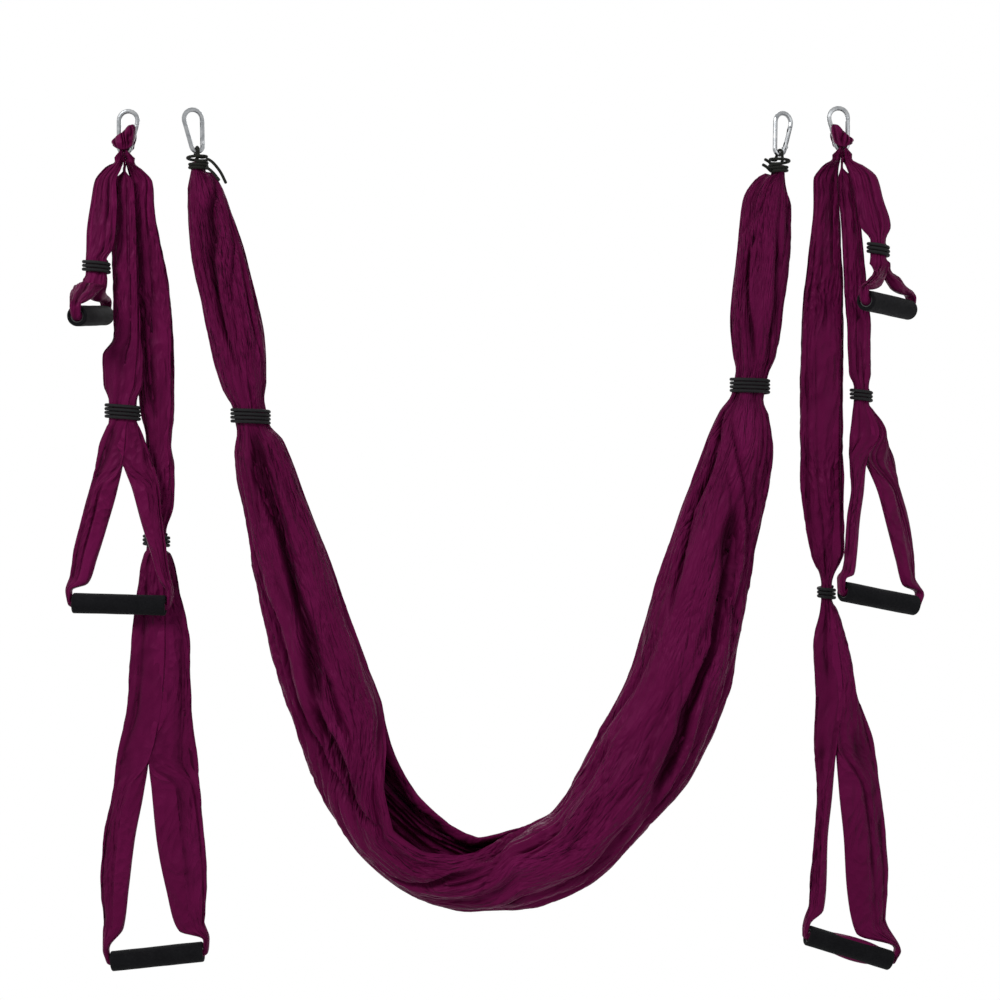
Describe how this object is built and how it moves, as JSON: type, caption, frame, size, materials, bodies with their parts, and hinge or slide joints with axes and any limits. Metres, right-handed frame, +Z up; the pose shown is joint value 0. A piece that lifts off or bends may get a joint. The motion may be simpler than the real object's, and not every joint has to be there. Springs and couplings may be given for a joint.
{
  "type": "aerial yoga swing",
  "caption": "Wide fabric hammock hung in a U from snap hooks, with side sets of gathered fabric loops that end in foam-covered hand grips.",
  "frame": {"origin": "the seat of the left hammock hook, where the inside of its top bend hangs on a ceiling hook", "axes": "+X from the left handle set to the right one, +Z up, -Y is the front that faces the viewer"},
  "size_m": [1.2949, 0.1782, 1.3033],
  "materials": {
    "plum_nylon": "satin taffeta",
    "black_elastic": "woven elastic cord",
    "black_rope": "braided",
    "black_foam": "matte foam",
    "black_tube": "plain",
    "zinc_steel": "zinc plated"
  },
  "bodies": {
    "hooks": {"hammock_left_hook_frame": "zinc_steel", "hammock_left_hook_rivet": "zinc_steel", "hammock_right_hook_frame": "zinc_steel", "hammock_right_hook_rivet": "zinc_steel", "left_set_hook_frame": "zinc_steel", "left_set_hook_rivet": "zinc_steel", "right_set_hook_frame": "zinc_steel", "right_set_hook_rivet": "zinc_steel"},
    "hammock_left_hook_gate": {"hammock_left_hook_gate": "zinc_steel"},
    "hammock_right_hook_gate": {"hammock_right_hook_gate": "zinc_steel"},
    "left_set_hook_gate": {"left_set_hook_gate": "zinc_steel"},
    "right_set_hook_gate": {"right_set_hook_gate": "zinc_steel"},
    "hammock": {"hammock_cloth": "plum_nylon", "hammock_left_rope": "black_rope", "hammock_right_rope": "black_rope", "hammock_left_band": "black_elastic", "hammock_right_band": "black_elastic"},
    "left_set_long_loop": {"left_set_long_strap": "plum_nylon", "left_set_long_band": "black_elastic"},
    "left_set_long_handle": {"left_set_long_grip": "black_foam", "left_set_long_handle_tube": "black_tube"},
    "left_set_medium_loop": {"left_set_medium_strap": "plum_nylon", "left_set_medium_band": "black_elastic"},
    "left_set_medium_handle": {"left_set_medium_grip": "black_foam", "left_set_medium_handle_tube": "black_tube"},
    "left_set_short_loop": {"left_set_short_strap": "plum_nylon", "left_set_short_band": "black_elastic"},
    "left_set_short_handle": {"left_set_short_grip": "black_foam", "left_set_short_handle_tube": "black_tube"},
    "right_set_long_loop": {"right_set_long_strap": "plum_nylon", "right_set_long_band": "black_elastic"},
    "right_set_long_handle": {"right_set_long_grip": "black_foam", "right_set_long_handle_tube": "black_tube"},
    "right_set_medium_loop": {"right_set_medium_strap": "plum_nylon", "right_set_medium_band": "black_elastic"},
    "right_set_medium_handle": {"right_set_medium_grip": "black_foam", "right_set_medium_handle_tube": "black_tube"},
    "right_set_short_loop": {"right_set_short_strap": "plum_nylon", "right_set_short_band": "black_elastic"},
    "right_set_short_handle": {"right_set_short_grip": "black_foam", "right_set_short_handle_tube": "black_tube"}
  },
  "joints": [
    {"name": "hammock_left_hook_gate_hinge", "type": "hinge", "parent": "hooks", "child": "hammock_left_hook_gate", "pos_m": [0.01481, 0.00659, -0.04525], "axis": [0.4067, -0.9135, 0], "range_deg": [0, 25], "stiffness_Nm_per_rad": 0.08, "springref_deg": -20.05},
    {"name": "hammock_right_hook_gate_hinge", "type": "hinge", "parent": "hooks", "child": "hammock_right_hook_gate", "pos_m": [0.88942, 0.00075, -0.05354], "axis": [0.4695, -0.8829, 0], "range_deg": [0, 25], "stiffness_Nm_per_rad": 0.08, "springref_deg": -20.05},
    {"name": "left_set_hook_gate_hinge", "type": "hinge", "parent": "hooks", "child": "left_set_hook_gate", "pos_m": [-0.09139, 0, -0.0505], "axis": [0, -1, 0], "range_deg": [0, 25], "stiffness_Nm_per_rad": 0.08, "springref_deg": -20.05},
    {"name": "right_set_hook_gate_hinge", "type": "hinge", "parent": "hooks", "child": "right_set_hook_gate", "pos_m": [0.98342, 0, -0.04353], "axis": [0, -1, 0], "range_deg": [0, 25], "stiffness_Nm_per_rad": 0.08, "springref_deg": -20.05},
    {"name": "hammock_swing", "type": "hinge", "parent": "hooks", "child": "hammock", "pos_m": [0.00713, 0.00317, -0.0589], "axis": [0.9999, -0.0079, -0.0063], "range_deg": [-28, 28]},
    {"name": "left_set_long_swing", "type": "hinge", "parent": "hooks", "child": "left_set_long_loop", "pos_m": [-0.10092, 0, -0.06153], "axis": [1, 0, 0], "range_deg": [-20, 20]},
    {"name": "left_set_long_grip_spin", "type": "hinge", "parent": "left_set_long_loop", "child": "left_set_long_handle", "pos_m": [-0.05552, 0.024, -1.27153], "axis": [0.9945, 0, 0.1045], "continuous": true},
    {"name": "left_set_medium_swing", "type": "hinge", "parent": "left_set_long_loop", "child": "left_set_medium_loop", "pos_m": [-0.10092, 0, -0.06153], "axis": [1, 0, 0], "range_deg": [-18, 0]},
    {"name": "left_set_medium_grip_spin", "type": "hinge", "parent": "left_set_medium_loop", "child": "left_set_medium_handle", "pos_m": [-0.10902, 0, -0.73833], "axis": [0.9997, 0, -0.0262], "continuous": true},
    {"name": "left_set_short_swing", "type": "hinge", "parent": "left_set_medium_loop", "child": "left_set_short_loop", "pos_m": [-0.10092, 0, -0.06153], "axis": [1, 0, 0], "range_deg": [-18, 0]},
    {"name": "left_set_short_grip_spin", "type": "hinge", "parent": "left_set_short_loop", "child": "left_set_short_handle", "pos_m": [-0.14692, -0.024, -0.30753], "axis": [0.1214, 0.9888, 0.0872], "continuous": true},
    {"name": "right_set_long_swing", "type": "hinge", "parent": "hooks", "child": "right_set_long_loop", "pos_m": [0.97492, 0, -0.05703], "axis": [1, 0, 0], "range_deg": [-20, 20]},
    {"name": "right_set_long_grip_spin", "type": "hinge", "parent": "right_set_long_loop", "child": "right_set_long_handle", "pos_m": [0.98892, 0.024, -1.25853], "axis": [0.9281, 0.1973, -0.3156], "continuous": true},
    {"name": "right_set_medium_swing", "type": "hinge", "parent": "right_set_long_loop", "child": "right_set_medium_loop", "pos_m": [0.97492, 0, -0.05703], "axis": [1, 0, 0], "range_deg": [-18, 0]},
    {"name": "right_set_medium_grip_spin", "type": "hinge", "parent": "right_set_medium_loop", "child": "right_set_medium_handle", "pos_m": [1.03092, 0, -0.72983], "axis": [0.8529, 0.4924, -0.1736], "continuous": true},
    {"name": "right_set_short_swing", "type": "hinge", "parent": "right_set_medium_loop", "child": "right_set_short_loop", "pos_m": [0.97492, 0, -0.05703], "axis": [1, 0, 0], "range_deg": [-18, 0]},
    {"name": "right_set_short_grip_spin", "type": "hinge", "parent": "right_set_short_loop", "child": "right_set_short_handle", "pos_m": [1.03922, -0.024, -0.29183], "axis": [0.6014, 0.7981, -0.0349], "continuous": true}
  ]
}
